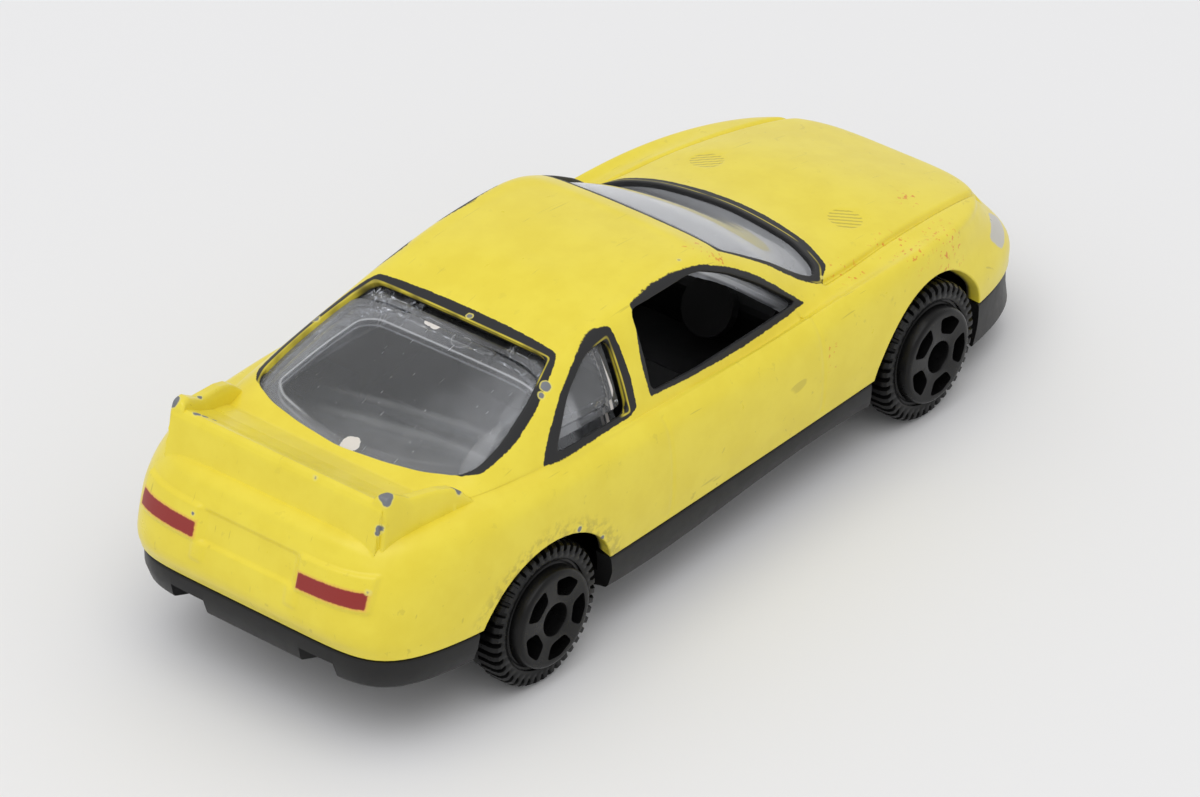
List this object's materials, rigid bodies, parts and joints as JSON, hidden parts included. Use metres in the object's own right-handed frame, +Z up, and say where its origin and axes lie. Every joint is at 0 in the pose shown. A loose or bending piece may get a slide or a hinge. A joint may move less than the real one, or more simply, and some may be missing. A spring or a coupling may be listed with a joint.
{
  "type": "die-cast sports car",
  "caption": "Die-cast toy sports coupe with a painted metal shell, boot wing, clear windows, open door windows, moulded base and free-rolling treaded wheels.",
  "frame": {"origin": "on the ground under the middle of the car, midway between nose and tail", "axes": "+X to the nose, +Y to the car's left, +Z up"},
  "size_m": [0.074, 0.0278, 0.0219],
  "materials": {
    "body_paint": "gloss yellow enamel on cast zinc, chipped to grey metal on its edges",
    "base_plastic": "satin black moulding",
    "clear_plastic": "clear moulded plastic, lightly scratched",
    "cabin_plastic": "black moulding",
    "axle_steel": "drawn steel wire",
    "wheel_plastic": "glossy black moulding",
    "rivet_steel": "plain steel"
  },
  "bodies": {
    "body": {"body_shell": "body_paint", "base_plate": "base_plastic", "window_unit": "clear_plastic", "interior_tub": "cabin_plastic", "front_rivet": "rivet_steel", "rear_rivet": "rivet_steel"},
    "front_axle_set": {"front_axle": "axle_steel", "front_left_wheel": "wheel_plastic", "front_right_wheel": "wheel_plastic"},
    "rear_axle_set": {"rear_axle": "axle_steel", "rear_left_wheel": "wheel_plastic", "rear_right_wheel": "wheel_plastic"}
  },
  "joints": [
    {"name": "front_axle_spin", "type": "hinge", "parent": "body", "child": "front_axle_set", "pos_m": [0.02125, 0, 0.0053], "axis": [0, 1, 0], "continuous": true},
    {"name": "rear_axle_spin", "type": "hinge", "parent": "body", "child": "rear_axle_set", "pos_m": [-0.02125, 0, 0.0053], "axis": [0, 1, 0], "continuous": true}
  ]
}
